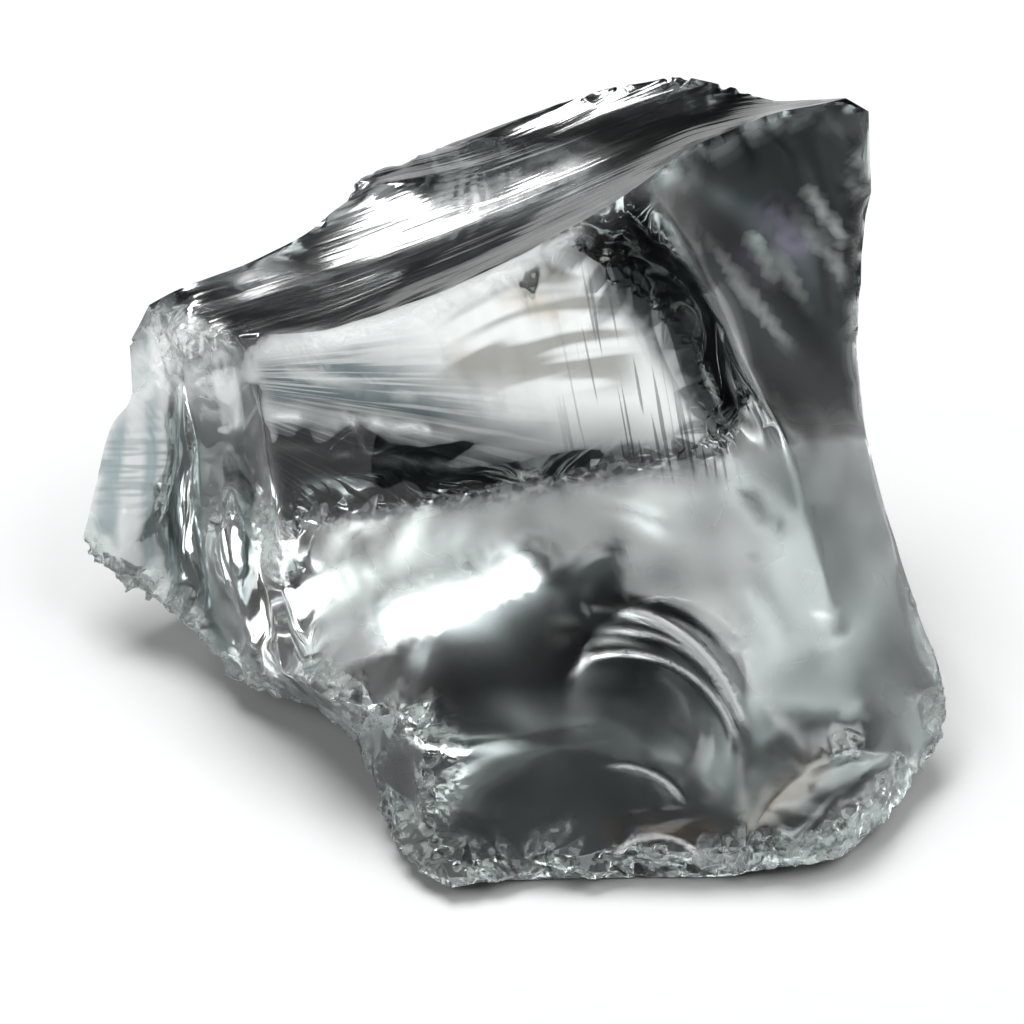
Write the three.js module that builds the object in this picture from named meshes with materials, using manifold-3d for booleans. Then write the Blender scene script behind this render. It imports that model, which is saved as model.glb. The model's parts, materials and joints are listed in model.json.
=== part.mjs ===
// A clear andara glass chunk: one broken lump of glass that lies on its flat base.
//
// Every fracture face is a patch stretched over a closed loop of named corners, like a soap
// film: it may be dished, and it may carry the rings that a shock wave leaves in glass.
// Neighbouring faces share the points of the edge between them, so the patches close into one
// solid. Small chips are then cut out of the bruised edges.
//
// Millimetres, +Z up. The origin is on the table, under the middle of the chunk.

import * as THREE from "three";
import { mergeVertices } from "three/addons/utils/BufferGeometryUtils.js";
import Module from "manifold-3d";

const wasm = await Module();
wasm.setup();

// ---------------------------------------------------------------- driving dimensions

const SIGHT_ELEVATION = THREE.MathUtils.degToRad(48); // the corners are laid out as seen from here
const EDGE_STEP = 1.7; // spacing of the points along an edge
const FACE_STEP = 2.7; // spacing of the points inside a face
const NICK = 0.06; // how far the points of an ordinary edge stray
const BRUISE = 0.28; // how far the points of a bruised edge stray
const SCATTER = 0.3; // how far the points inside a face stray, as a share of their spacing
const RIM_GAP = 0.55; // how close to its outline they come, as a share of the spacing
const RIM_GAP_LIMIT = 1.3; // but never further from it than this
const RELAX_ROUNDS = 400; // passes that settle a film
const SLIVER = 1e-7; // twice the area of a triangle too thin to keep, mm2
const ROUNDING = 1e-9; // smaller than this counts as nothing
const WELD = 1e-4; // points closer than this are one
const POINT_LIMIT = 65536; // more points than any face has, to number its sides
const MIDDLE = new THREE.Vector3(0, 0, 14); // the middle of the chunk

// Corners as [across, up, height]: across and up as seen along the sight line, which looks
// along +Y and down by SIGHT_ELEVATION, and height above the table. All in millimetres.
const CORNERS = {
  // back edge of the upper face
  t0: [-23.0, 22.6, 23.3],
  t1: [-18.7, 24.1, 24.2],
  t2: [-15.1, 25.9, 24.8],
  t3: [-11.6, 28.8, 25],
  t4: [-11.0, 30.3, 25],
  t5: [-5.1, 32.6, 25],
  t6: [-0.9, 34.2, 27],
  t7: [3.4, 35.7, 29.5],
  t8: [7.7, 36.8, 32],
  t9: [12.7, 37.2, 34],
  t10: [18.1, 35.4, 35.5],
  k0: [23.1, 35.5, 38],
  k1: [24.7, 34.6, 37],
  // right
  h0: [25.0, 29.1, 31],
  h1: [24.4, 22.7, 26.5],
  h2: [24.0, 18.4, 22.5],
  h3: [24.6, 12.7, 18.5],
  h4: [26.3, 6.3, 14],
  h5: [28.3, 0.2, 9.5],
  h6: [29.9, -4.1, 6.5],
  h7: [30.4, -6.9, 4.5],
  h8: [30.1, -9.1, 3.2],
  // front foot
  f0: [28.1, -11.9, 2],
  f1: [26.3, -14.6, 1.5],
  f2: [23.8, -16.7, 1.2],
  f3: [20.2, -17.7, 1.2],
  f4: [16.3, -18.1, 1.2],
  f5: [12.0, -17.7, 1.2],
  f6: [8.1, -17.5, 1.2],
  f7: [5.6, -18.6, 1.2],
  f8: [2.4, -17.8, 1.2],
  f9: [-0.9, -18.8, 1.2],
  f10: [-4.1, -19.2, 1.2],
  f11: [-6.6, -18.0, 1.2],
  f12: [-8.9, -15.5, 1.2],
  f13: [-9.4, -12.6, 1.4],
  f14: [-10.9, -9.4, 1.6],
  f15: [-13.7, -7.0, 2],
  // left
  l0: [-17.3, -6.0, 2.5],
  l1: [-20.0, -4.8, 2.5],
  l2: [-22.3, -2.1, 3],
  l3: [-24.8, 0.1, 4],
  l4: [-27.6, 1.3, 5],
  l5: [-29.8, 3.4, 6],
  l6: [-30.4, 5.0, 7],
  l7: [-29.4, 9.1, 10],
  l8: [-28.4, 13.1, 13],
  l9: [-26.8, 14.7, 15],
  l10: [-27.0, 18.8, 18],
  l11: [-25.5, 21.4, 21.8],
  // crest
  r0: [-22.6, 19.7, 24],
  g0: [-20.7, 19.3, 25],
  n0: [-19.4, 19.1, 25.8],
  e0: [-18.0, 19.0, 26.5],
  r2: [-12.6, 19.4, 28.5],
  r3: [-5.1, 21.8, 32.3],
  r4: [0.6, 24.4, 35],
  r5: [6.3, 27.6, 37],
  d0: [9.1, 29.5, 37.8],
  r6: [12.0, 31.9, 38.5],
  r7: [18.1, 34.5, 38.5],
  // ledge
  u0: [-8.0, 30.0, 27.5],
  u1: [-2.3, 30.9, 28.8],
  u2: [3.4, 32.4, 31],
  u3: [9.1, 34.1, 33.5],
  u4: [13.4, 35.4, 35],
  // ribs
  g1: [-20.5, 12.0, 18],
  g2: [-19.8, 3.4, 12],
  g3: [-18.1, -3.9, 5.2],
  n1: [-18.7, 12.0, 19],
  n2: [-17.9, 3.4, 12.6],
  n3: [-16.2, -4.3, 6],
  e1: [-17.1, 12.0, 21],
  e2: [-16.0, 3.4, 14.5],
  e3: [-14.3, -5.0, 8],
  w0: [-26.6, 6.3, 9],
  w1: [-23.0, 1.3, 7],
  w2: [-19.4, -2.6, 5],
  // right-hand corner edge
  d1: [12.7, 24.7, 34],
  d2: [16.6, 15.9, 27.5],
  d3: [18.8, 12.0, 24.5],
  d4: [21.4, 3.4, 17.5],
  d5: [23.1, -3.7, 11.5],
  d6: [25.4, -9.8, 6.5],
  // foot of the main face
  m0: [-13.0, -5.9, 8.6],
  m1: [-8.0, -6.9, 9.3],
  m2: [-5.7, -9.8, 7.6],
  m3: [-6.1, -13.7, 4.6],
  m4: [-4.8, -17.3, 2.2],
  m5: [0.6, -17.0, 2.4],
  m6: [6.3, -16.6, 2.9],
  m7: [16.1, -16.3, 3.3],
  m8: [19.9, -16.1, 3.5],
  m9: [24.1, -13.7, 4.5],
  m10: [27.4, -10.1, 4.5],
  // rear corner edge, seen through the main face
  c0: [13.1, 18.3, 6.5],
  c1: [10.2, 21.9, 10],
  c2: [7.3, 24.0, 12.5],
  c3: [5.0, 25.7, 14.5],
  c4: [-0.5, 29.9, 20],
  // scars of the main face
  q0: [4.5, -13.7, 5.2],
  q1: [3.4, -9.4, 8.6],
  q2: [3.8, -4.1, 13.1],
  q3: [6.3, -0.5, 15.9],
  q4: [9.9, 1.1, 17.1],
  q5: [13.8, -0.3, 16],
  q6: [16.3, -3.7, 13.2],
  q7: [16.9, -8.0, 9.8],
  q8: [16.6, -12.6, 6.2],
  p0: [17.5, -13.6, 5.6],
  p1: [20.2, -11.0, 7.6],
  p2: [23.4, -9.6, 8],
};

// The base is flat on the table, so its corners are plain [x, y, 0].
const BASE = {
  b0: [-5.2, -25.3, 0],
  b1: [4.5, -25, 0],
  b2: [15.5, -24.8, 0],
  b3: [23.2, -21.6, 0],
  b4: [27.3, -15.8, 0],
  b5: [27.6, -9, 0],
  b6: [25.5, -3, 0],
  b7: [23.3, 8, 0],
  b8: [13.9, 17.2, 0],
  b9: [4.5, 14.1, 0],
  b10: [-6, 11.3, 0],
  b11: [-15.5, 8.7, 0],
  b12: [-21, 1, 0],
  b13: [-18, -5, 0],
  b14: [-12.5, -10.2, 0],
  b15: [-8.8, -15.5, 0],
  b16: [-8, -21.5, 0],
};

// ---------------------------------------------------------------- fracture faces

// loop: the corners in order, anticlockwise seen from outside. dish: how far the middle of the
// face lies below a stretched film (mm, negative where it swells). rings: a centre corner, the
// spacing of the rings and their height.
const FACES = [
  {
    name: "upper",
    loop: "r0 g0 n0 e0 r2 r3 r4 r5 d0 r6 r7 k0 t10 u4 u3 u2 u1 u0 t4 t3 t2 t1 t0",
    dish: 0.7,
    step: 2.2,
    rings: { centre: "t4", spacing: 5, height: 0.06 },
  },
  { name: "upper_ledge", loop: "t4 u0 u1 u2 u3 u4 t10 t9 t8 t7 t6 t5", dish: 0.3 },
  { name: "nose", loop: "l11 l10 r0 t0", dish: -0.5 },
  { name: "left", loop: "l10 l9 l8 l7 l6 w0 w1 w2 g3 g2 g1 g0 r0", dish: 0.8 },
  { name: "left_foot", loop: "l6 l5 l4 l3 l2 l1 l0 f15 m0 e3 n3 g3 w2 w1 w0", dish: 0 },
  { name: "rib_a", loop: "g0 g1 g2 g3 n3 n2 n1 n0", dish: 0.3 },
  { name: "rib_b", loop: "n0 n1 n2 n3 e3 e2 e1 e0", dish: 0.5 },
  {
    name: "main",
    loop:
      "e0 e1 e2 e3 m0 m1 m2 m3 m4 m5 m6 q0 q1 q2 q3 q4 q5 q6 q7 " +
      "q8 m7 p0 p1 p2 d6 d5 d4 d3 d2 d1 d0 r5 r4 r3 r2",
    dish: -0.4,
  },
  {
    name: "scar",
    loop: "m6 m7 q8 q7 q6 q5 q4 q3 q2 q1 q0",
    dish: 0.3,
    step: 0.9,
    rings: { centre: "q0", spacing: 2.4, height: 0.03 },
  },
  {
    name: "small_scar",
    loop: "m7 m8 m9 m10 d6 p2 p1 p0",
    dish: 0.5,
    step: 1,
    rings: { centre: "m10", spacing: 2, height: 0.05 },
  },
  { name: "right_high", loop: "d0 d1 d2 d3 h3 h2 h1 h0 k1 k0 r7 r6", dish: 1 },
  { name: "right_low", loop: "d3 d4 d5 d6 m10 h8 h7 h6 h5 h4 h3", dish: -0.4 },
  { name: "bay", loop: "f15 f14 f13 f12 f11 m4 m3 m2 m1 m0", dish: 0.6 },
  { name: "foot_a", loop: "f11 f10 f9 f8 m5 m4", dish: 0 },
  { name: "foot_b", loop: "f8 f7 f6 f5 m6 m5", dish: 0 },
  { name: "foot_c", loop: "f5 f4 f3 m8 m7 m6", dish: 0 },
  { name: "foot_d", loop: "f3 f2 f1 f0 h8 m10 m9 m8", dish: 0 },
  { name: "under_front", loop: "b0 b1 b2 b3 f1 f2 f3 f4 f5 f6 f7 f8 f9 f10 f11", dish: 0 },
  { name: "under_corner", loop: "b3 b4 h8 f0 f1", dish: 0 },
  {
    name: "right_wall",
    loop: "b4 b5 b6 b7 k1 h0 h1 h2 h3 h4 h5 h6 h7 h8",
    dish: 0.6,
    step: 2.2,
    rings: { centre: "k1", spacing: 5.5, height: 0.05 },
  },
  {
    name: "rear_right",
    loop: "b7 b8 c0 c1 c2 c3 c4 t5 t6 t7 t8 t9 t10 k0 k1",
    dish: 0.5,
    step: 2.2,
    rings: { centre: "t5", spacing: 5, height: 0.04 },
  },
  {
    name: "rear",
    loop: "b8 b9 b10 b11 t0 t1 t2 t3 t4 t5 c4 c3 c2 c1 c0",
    dish: 2.3,
    step: 2,
    rings: { centre: "t5", spacing: 3.6, height: 0.05 },
  },
  {
    name: "left_rear",
    loop: "b11 b12 l6 l7 l8 l9 l10 l11 t0",
    dish: 1.2,
    step: 2,
    rings: { centre: "t0", spacing: 4, height: 0.04 },
  },
  {
    name: "under_left",
    loop: "b12 b13 b14 b15 b16 b0 f11 f12 f13 f14 f15 l0 l1 l2 l3 l4 l5 l6",
    dish: 0.6,
    step: 2.2,
    rings: { centre: "b14", spacing: 3.5, height: 0.1 },
  },
  {
    name: "base",
    loop: "b16 b15 b14 b13 b12 b11 b10 b9 b8 b7 b6 b5 b4 b3 b2 b1 b0",
    dish: 0,
    flat: true,
  },
];

// Bruised edges: strings of corners, with how many chips each has and their radius.
const BRUISES = [
  { along: "b11 b10 b9 b8", chips: 46, radius: 0.9 },
  { along: "b8 c0 c1 c2 c3 c4", chips: 30, radius: 0.9 },
  { along: "l6 l5 l4 l3 l2 l1 l0 f15 f14 f13 f12 f11", chips: 36, radius: 0.9 },
  { along: "f11 f10 f9 f8 f7 f6 f5 f4 f3 f2 f1 f0 h8 h7 h6", chips: 46, radius: 0.8 },
  { along: "m4 m5 m6 m7 m8 m9 m10", chips: 22, radius: 0.6 },
  { along: "m0 m1 m2 m3 m4", chips: 14, radius: 0.6 },
  { along: "t3 t4 t5", chips: 7, radius: 0.7 },
  { along: "t7 t8 t9 t10", chips: 9, radius: 0.6 },
  { along: "l10 r0 g0", chips: 5, radius: 0.7 },
];

// Flake scars: shell-shaped bites. at: a point on the surface; facing: outwards there; across and
// depth: the width and depth of the bite; struck: where its ripples spread from; ripple: their
// spacing.
const FLAKES = [
  {
    at: [22.8, 8, 20],
    facing: [0.85, 0.5, -0.1],
    across: 14,
    depth: 1.3,
    struck: [24, 10.5, 27],
    ripple: 2,
  },
  {
    at: [26, -4, 7],
    facing: [0.9, 0.3, -0.3],
    across: 11,
    depth: 1.3,
    struck: [28.5, -7, 10],
    ripple: 1.8,
  },
  {
    at: [-20, 9.5, 11],
    facing: [-0.4, 0.9, -0.2],
    across: 11,
    depth: 0.7,
    struck: [-22.5, 10.6, 19],
    ripple: 1.9,
  },
  {
    at: [-24.5, 4.2, 8],
    facing: [-0.5, 0.7, -0.5],
    across: 8,
    depth: 0.9,
    struck: [-29, 1.5, 7],
    ripple: 1.5,
  },
];
const FLAKE_DETAIL = 14; // how finely the cutter of a flake is divided
const FLAKE_RIPPLE = 0.025; // height of its ripples
const FIRST_SEED = 11; // where the chips of the first bruised edge start their numbers

// ---------------------------------------------------------------- corners and edges

// A fixed stream of numbers from 0 to 1, so that the chunk is the same each time.
function numbers(seed) {
  let state = seed;
  return () => {
    state = (Math.imul(state, 1664525) + 1013904223) >>> 0;
    return state / 4294967296;
  };
}

// A corner's place in the chunk's frame, from how it looks along the sight line.
function cornerPlace([across, up, height]) {
  const depth = (up - height * Math.cos(SIGHT_ELEVATION)) / Math.sin(SIGHT_ELEVATION);
  return new THREE.Vector3(across, depth, height);
}

const places = new Map();
for (const [name, seen] of Object.entries(CORNERS)) places.set(name, cornerPlace(seen));
for (const [name, [x, y, z]] of Object.entries(BASE)) places.set(name, new THREE.Vector3(x, y, z));

const bruised = new Set();
for (const { along } of BRUISES) {
  const names = along.split(" ");
  for (let i = 1; i < names.length; i++) bruised.add([names[i - 1], names[i]].sort().join(" "));
}

// The points of the edge from one corner to the next, without the last. Both faces of an edge
// get the same points, because they are made in one direction and turned round.
const edges = new Map();
function edgePoints(from, to) {
  const key = [from, to].sort().join(" ");
  if (!edges.has(key)) {
    const [first, last] = key.split(" ").map((name) => places.get(name));
    const count = Math.max(1, Math.round(first.distanceTo(last) / EDGE_STEP));
    const onTable = first.z === 0 && last.z === 0;
    const stray = bruised.has(key) ? BRUISE : NICK;
    let seed = 7;
    for (const letter of key) seed = seed * 31 + letter.charCodeAt(0);
    const next = numbers(seed);
    const points = [first.clone()];
    for (let i = 1; i < count; i++) {
      const point = first.clone().lerp(last, i / count);
      const shift = new THREE.Vector3(next() - 0.5, next() - 0.5, onTable ? 0 : next() - 0.5);
      points.push(point.addScaledVector(shift, 2 * stray));
    }
    points.push(last.clone());
    edges.set(key, points);
  }
  const points = edges.get(key);
  const forward = key.startsWith(from + " ");
  return forward ? points.slice(0, -1) : points.slice(1).reverse();
}

// ---------------------------------------------------------------- a face as a stretched film

const area2 = (a, b, c) => (b.x - a.x) * (c.y - a.y) - (b.y - a.y) * (c.x - a.x);

// True if d lies inside the circle through a, b and c, which run anticlockwise.
function inCircle(a, b, c, d) {
  const [ax, ay, bx, by, cx, cy] = [a.x - d.x, a.y - d.y, b.x - d.x, b.y - d.y, c.x - d.x, c.y - d.y];
  const det =
    (ax * ax + ay * ay) * (bx * cy - cx * by) -
    (bx * bx + by * by) * (ax * cy - cx * ay) +
    (cx * cx + cy * cy) * (ax * by - bx * ay);
  return det > ROUNDING;
}

// A triangle mesh in the plane that always keeps its outline, and turns its inner edges so that
// the triangles stay well shaped.
class Film {
  constructor(outline) {
    this.points = outline.map((p) => p.clone());
    this.rim = outline.length;
    this.triangles = [];
    this.sides = new Map();
    for (const t of THREE.ShapeUtils.triangulateShape(outline, [])) {
      const [a, b, c] = area2(outline[t[0]], outline[t[1]], outline[t[2]]) > 0 ? t : [t[0], t[2], t[1]];
      this.add(a, b, c);
    }
    for (const t of this.triangles.slice()) this.settle(t);
  }

  add(a, b, c) {
    const t = [a, b, c];
    this.triangles.push(t);
    this.note(t);
    return t;
  }

  note(t) {
    for (let i = 0; i < 3; i++) this.sides.set(t[i] * POINT_LIMIT + t[(i + 1) % 3], t);
  }

  // Turns the edges of a triangle whose neighbour's far corner lies in its circle.
  settle(start) {
    const waiting = [start];
    while (waiting.length) {
      const t = waiting.pop();
      for (let i = 0; i < 3; i++) {
        const [a, b, c] = [t[i], t[(i + 1) % 3], t[(i + 2) % 3]];
        const other = this.sides.get(b * POINT_LIMIT + a);
        if (!other) continue;
        const d = other.find((v) => v !== a && v !== b);
        const [pa, pb, pc, pd] = [a, b, c, d].map((v) => this.points[v]);
        if (!inCircle(pa, pb, pc, pd)) continue;
        if (area2(pa, pd, pc) <= SLIVER || area2(pd, pb, pc) <= SLIVER) continue;
        this.sides.delete(a * POINT_LIMIT + b);
        this.sides.delete(b * POINT_LIMIT + a);
        t.splice(0, 3, a, d, c);
        other.splice(0, 3, d, b, c);
        this.note(t);
        this.note(other);
        waiting.push(t, other);
        break;
      }
    }
  }

  insert(point) {
    const isLeft = (from, to) => area2(this.points[from], this.points[to], point) > SLIVER;
    const t = this.triangles.find(([a, b, c]) => isLeft(a, b) && isLeft(b, c) && isLeft(c, a));
    if (!t) return;
    const v = this.points.push(point) - 1;
    const [a, b, c] = t;
    t.splice(0, 3, a, b, v);
    this.note(t);
    const made = [t, this.add(b, c, v), this.add(c, a, v)];
    for (const one of made) this.settle(one);
  }

  neighbours() {
    const lists = this.points.map(() => new Set());
    for (const [a, b, c] of this.triangles) {
      lists[a].add(b).add(c);
      lists[b].add(c).add(a);
      lists[c].add(a).add(b);
    }
    return lists.map((list) => [...list]);
  }
}

// Every inner value becomes its neighbours' mean plus push, over and over.
function relax(values, lists, rim, push) {
  for (let round = 0; round < RELAX_ROUNDS; round++)
    for (let i = rim; i < values.length; i++) {
      let sum = 0;
      for (const j of lists[i]) sum += values[j];
      values[i] = sum / lists[i].length + push;
    }
}

function distanceToOutline(p, outline) {
  let least = Infinity;
  for (let i = 0; i < outline.length; i++) {
    const a = outline[i];
    const b = outline[(i + 1) % outline.length];
    const along = b.clone().sub(a);
    const share = THREE.MathUtils.clamp(p.clone().sub(a).dot(along) / along.lengthSq(), 0, 1);
    least = Math.min(least, p.distanceTo(a.clone().addScaledVector(along, share)));
  }
  return least;
}

// The triangles of one fracture face, as a flat list of places.
function facePatch({ loop, dish, step = FACE_STEP, flat = false, rings = null }) {
  const names = loop.split(" ");
  const outline = names.flatMap((name, i) => edgePoints(name, names[(i + 1) % names.length]));
  const normal = new THREE.Vector3();
  const middle = new THREE.Vector3();
  outline.forEach((p, i) => {
    normal.add(p.clone().cross(outline[(i + 1) % outline.length]));
    middle.addScaledVector(p, 1 / outline.length);
  });
  normal.normalize();
  const right = new THREE.Vector3(0, 0, 1).cross(normal);
  if (right.length() < 0.1) right.set(1, 0, 0);
  right.normalize();
  const up = normal.clone().cross(right);
  const flatten = (p) => {
    const arm = p.clone().sub(middle);
    return new THREE.Vector2(arm.dot(right), arm.dot(up));
  };

  const flatOutline = outline.map(flatten);
  const film = new Film(flatOutline);
  const box = new THREE.Box2().setFromPoints(flatOutline);
  const next = numbers(names.length * 97 + 5);
  const stray = () => (next() - 0.5) * step * SCATTER;
  const rimGap = Math.min(step * RIM_GAP, RIM_GAP_LIMIT);
  const rowGap = (step * Math.sqrt(3)) / 2;
  if (!flat)
    for (let row = 0, y = box.min.y; y < box.max.y; row++, y += rowGap)
      for (let x = box.min.x + (row % 2) * (step / 2); x < box.max.x; x += step) {
        const p = new THREE.Vector2(x + stray(), y + stray());
        if (distanceToOutline(p, flatOutline) > rimGap) film.insert(p);
      }

  const lists = film.neighbours();
  const offPlane = (p) => p.clone().sub(middle).dot(normal);
  const heights = film.points.map((_, i) => (i < film.rim ? offPlane(outline[i]) : 0));
  const bulge = film.points.map(() => 0);
  relax(heights, lists, film.rim, 0);
  relax(bulge, lists, film.rim, 1);
  const most = Math.max(ROUNDING, ...bulge);
  const placed = film.points.map((p, i) => {
    if (i < film.rim) return outline[i];
    const share = bulge[i] / most;
    let lift = heights[i] - dish * share;
    const at = middle.clone().addScaledVector(right, p.x).addScaledVector(up, p.y);
    if (rings) {
      const far = at.distanceTo(places.get(rings.centre));
      lift += rings.height * Math.sin((2 * Math.PI * far) / rings.spacing) * Math.min(1, 3 * share);
    }
    return at.addScaledVector(normal, lift);
  });
  return film.triangles.flatMap((t) => t.map((v) => placed[v]));
}

// ---------------------------------------------------------------- solids

function solidOf(geometry) {
  const bare = geometry.clone();
  bare.deleteAttribute("normal");
  bare.deleteAttribute("uv");
  const merged = mergeVertices(bare, WELD);
  const vertProperties = new Float32Array(merged.attributes.position.array);
  return new wasm.Manifold(
    new wasm.Mesh({ numProp: 3, vertProperties, triVerts: new Uint32Array(merged.index.array) }),
  );
}

function geometryOf(solid) {
  const mesh = solid.getMesh();
  const geometry = new THREE.BufferGeometry();
  geometry.setAttribute("position", new THREE.BufferAttribute(mesh.vertProperties, 3));
  geometry.setIndex(new THREE.BufferAttribute(mesh.triVerts, 1));
  geometry.computeVertexNormals();
  return geometry;
}

function lump() {
  const points = FACES.flatMap(facePatch);
  return solidOf(new THREE.BufferGeometry().setFromPoints(points));
}

// The chips of one bruised edge, each a small flattened ball that bites into the edge.
function chips({ along, chips: count, radius }, seed) {
  const names = along.split(" ");
  const line = names.slice(1).flatMap((name, i) => edgePoints(names[i], name));
  line.push(places.get(names.at(-1)));
  const path = new THREE.CatmullRomCurve3(line);
  const next = numbers(seed);
  const between = (least, most) => least + (most - least) * next();
  return Array.from({ length: count }, (_, i) => {
    const size = radius * between(0.6, 1.4);
    const at = path.getPointAt((i + next()) / count);
    const out = at.clone().sub(MIDDLE).normalize();
    const ball = new THREE.IcosahedronGeometry(size, 0);
    ball.scale(between(0.7, 1.7), between(0.7, 1.7), between(0.6, 1));
    ball.rotateX(between(0, Math.PI)).rotateZ(between(0, Math.PI));
    at.addScaledVector(out, size * between(0.4, 0.8));
    ball.translate(at.x, at.y, at.z);
    return solidOf(ball);
  });
}

// A flake is cut by part of a large rippled ball.
function flake({ at, facing, across, depth, struck, ripple }) {
  const radius = (across * across / 4 + depth * depth) / (2 * depth);
  const out = new THREE.Vector3(...facing).normalize();
  const centre = new THREE.Vector3(...at).addScaledVector(out, radius - depth);
  const start = new THREE.Vector3(...struck);
  const ball = new THREE.IcosahedronGeometry(radius, FLAKE_DETAIL);
  const { position } = ball.attributes;
  const point = new THREE.Vector3();
  for (let i = 0; i < position.count; i++) {
    point.fromBufferAttribute(position, i);
    const far = point.clone().add(centre).distanceTo(start);
    point.setLength(radius + FLAKE_RIPPLE * Math.sin((2 * Math.PI * far) / ripple));
    position.setXYZ(i, point.x + centre.x, point.y + centre.y, point.z + centre.z);
  }
  return solidOf(ball);
}

function chunk() {
  const cutters = BRUISES.flatMap((edge, i) => chips(edge, FIRST_SEED + i));
  return lump().subtract(wasm.Manifold.union([...cutters, ...FLAKES.map(flake)]));
}

// ---------------------------------------------------------------- the part

const glass = new THREE.MeshPhysicalMaterial({
  name: "clear_glass",
  color: 0xf2f7f5,
  roughness: 0.05,
  metalness: 0,
  transmission: 1,
  ior: 1.5,
});

const piece = new THREE.Mesh(geometryOf(chunk()), glass);
piece.name = "glass_chunk";

const part = new THREE.Group();
part.add(piece);

export default part;
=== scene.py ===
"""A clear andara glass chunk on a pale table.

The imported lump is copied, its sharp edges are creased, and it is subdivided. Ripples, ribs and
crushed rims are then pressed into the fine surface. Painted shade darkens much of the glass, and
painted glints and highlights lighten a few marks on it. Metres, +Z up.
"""

import json
import math

import bmesh
import bpy
import numpy as np
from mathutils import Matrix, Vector, noise

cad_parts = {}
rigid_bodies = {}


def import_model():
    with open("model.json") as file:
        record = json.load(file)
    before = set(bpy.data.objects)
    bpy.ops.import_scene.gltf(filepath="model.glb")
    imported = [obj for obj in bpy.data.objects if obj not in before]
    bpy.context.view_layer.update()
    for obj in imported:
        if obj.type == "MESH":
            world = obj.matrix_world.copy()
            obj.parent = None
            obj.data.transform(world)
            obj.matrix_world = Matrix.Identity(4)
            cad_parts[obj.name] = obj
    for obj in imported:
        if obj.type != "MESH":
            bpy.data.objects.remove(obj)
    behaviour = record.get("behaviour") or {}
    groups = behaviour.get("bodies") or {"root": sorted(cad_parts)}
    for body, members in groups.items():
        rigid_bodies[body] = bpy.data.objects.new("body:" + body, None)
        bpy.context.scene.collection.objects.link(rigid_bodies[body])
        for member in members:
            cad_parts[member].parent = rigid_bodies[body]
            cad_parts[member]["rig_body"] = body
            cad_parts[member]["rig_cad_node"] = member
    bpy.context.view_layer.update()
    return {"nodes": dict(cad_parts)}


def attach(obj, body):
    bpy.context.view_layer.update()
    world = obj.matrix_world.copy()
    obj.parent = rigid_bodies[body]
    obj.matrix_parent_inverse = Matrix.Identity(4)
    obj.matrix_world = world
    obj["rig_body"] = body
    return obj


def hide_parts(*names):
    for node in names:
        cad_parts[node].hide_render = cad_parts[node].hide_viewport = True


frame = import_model()

MM = 0.001
NODE = "glass_chunk"
SLOT = "clear_glass"

# The camera
SIGHT_ELEVATION = math.radians(48)
LENS = 300
SENSOR = 36
VIEW_WIDTH = 73.14 * MM  # what the camera sees across, at the chunk
VIEW_RISE = 6.857 * MM  # how far above the origin the camera aims, seen upright

UPRIGHT = np.array((0, math.sin(SIGHT_ELEVATION), math.cos(SIGHT_ELEVATION)))  # up, as seen from there
SIGHT_BACK = np.array((0, -math.cos(SIGHT_ELEVATION), math.sin(SIGHT_ELEVATION)))  # back to the camera

# The table and the room
TABLE_SIZE = 0.6
TABLE_COLOUR = (0.57, 0.58, 0.58, 1)
TABLE_ROUGHNESS = 0.9
TABLE_SHINE = 0.1
AIR_GAP = 0.2 * MM  # between the chunk's base and the table
ROOM_COLOUR = (0.04, 0.044, 0.047, 1)

# Soft boxes: [name, azimuth from +Y towards +X, elevation, distance, (width, height), power], in
# degrees, metres and watts
SOFT_BOXES = [
    ("back_box", -20, 66, 0.8, (0.5, 0.4), 8.5),
    ("low_back_box", -29, 17, 0.9, (0.10, 0.3), 3.4),
    ("right_box", 88, 52, 0.7, (0.5, 0.5), 3.4),
    ("left_box", -122, 18, 0.7, (0.6, 0.4), 0.6),
    ("high_left_box", -112, 42, 0.7, (0.5, 0.3), 1.4),
]
LIGHT_AIM = 15 * MM  # how high above the table the soft boxes face
BOUNCES = 12  # how often light may turn inside the glass

# The glass itself
REFRACTION = 1.5
BODY_COLOUR = (0.82, 0.90, 0.87, 1)  # what the glass lets through, and how strongly it absorbs
BODY_DENSITY = 12
CLEAR = 0.99  # the tint of bare glass
CRUSHED_TINT = (0.72, 0.78, 0.76, 1)
PALE_SCUFF_AND_GLINT = (0.95, 0.97, 0.965, 1)  # the glass where it is scuffed, and where glints and highlights are painted
RELIEF = 0.10 * MM  # how high the fine relief stands

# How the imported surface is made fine
MERGE = 0.001 * MM
SHARP_EDGE = math.radians(24)
SMOOTH_BELOW = math.radians(30)
FLAT_ENOUGH = math.radians(8)  # two triangles this flat and this square become one quad
SQUARE_ENOUGH = math.radians(50)
SUBDIVISIONS = 2

# The fracture faces: how each one faces, and its middle in millimetres
MAIN_FACING = (-0.11, -0.76, 0.65)
HIGH_FACING = (0.545, -0.594, 0.592)
UPPER_FACING = (-0.33, 0.22, 0.92)
REAR_FACING = (-0.38, 0.78, -0.5)
SIDE_FACING = (0.45, 0.89, -0.05)
END_FACING = (-0.8, -0.5, 0.3)

# Which way the streaks of a face run
CREST_RUN = (0.93, 0.16, 0.33)
RIB_RUN = (0.11, -0.56, -0.82)
HACKLE_RUN = (-0.25, 0.45, 0.86)
LINE_RUN = (0.175, -0.656, -0.737)
WISP_RUN = (-0.55, 0.3, 0.78)

# Where things are on the chunk, in millimetres
BASE_TOP = 0.05  # points lower than this belong to the flat base
SCAR_MIDDLE = (10.5, -19, 10)  # the large scar on the main face
SCAR_REACH = 11
RIBS_END = -13.5  # the ribs lie left of this
MAIN_START = -18  # the main face starts here, across
UPPER_LEVEL = 22  # the upper face lies above this

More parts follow.
